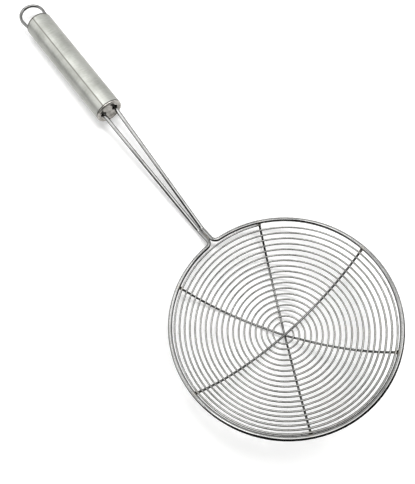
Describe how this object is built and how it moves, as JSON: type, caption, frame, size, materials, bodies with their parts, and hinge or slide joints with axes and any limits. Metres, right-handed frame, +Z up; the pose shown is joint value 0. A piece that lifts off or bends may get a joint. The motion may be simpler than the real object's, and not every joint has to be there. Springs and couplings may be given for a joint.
{
  "type": "spider skimmer",
  "caption": "Wire spider skimmer: a shallow spiral-wound wire dish on cross wires under a round rim, with a bent twin-wire shank, a hollow steel tube handle and a hanging loop.",
  "frame": {"origin": "bottom centre of the bounding box, on the table it lies on", "axes": "+X from the handle's tail to the dish's front, +Y to the left of it, +Z up from the table"},
  "size_m": [0.3754, 0.15, 0.0645],
  "materials": {
    "polished_steel_wire": "polished stainless wire",
    "weld_steel": "ground weld metal",
    "brushed_steel_tube": "satin stainless tube, belt polished round it",
    "polished_steel_cap": "polished pressed stainless sheet"
  },
  "bodies": {
    "root": {"rim_frame_wire": "polished_steel_wire", "cross_wire_upper": "polished_steel_wire", "cross_wire_middle": "polished_steel_wire", "cross_wire_lower": "polished_steel_wire", "spiral_wire": "polished_steel_wire", "hanging_loop": "polished_steel_wire", "neck_welds": "weld_steel", "cross_wire_welds": "weld_steel", "shank_welds": "weld_steel", "loop_welds": "weld_steel", "handle_tube": "brushed_steel_tube", "front_cap": "polished_steel_cap", "tail_plug": "polished_steel_cap"}
  },
  "joints": []
}
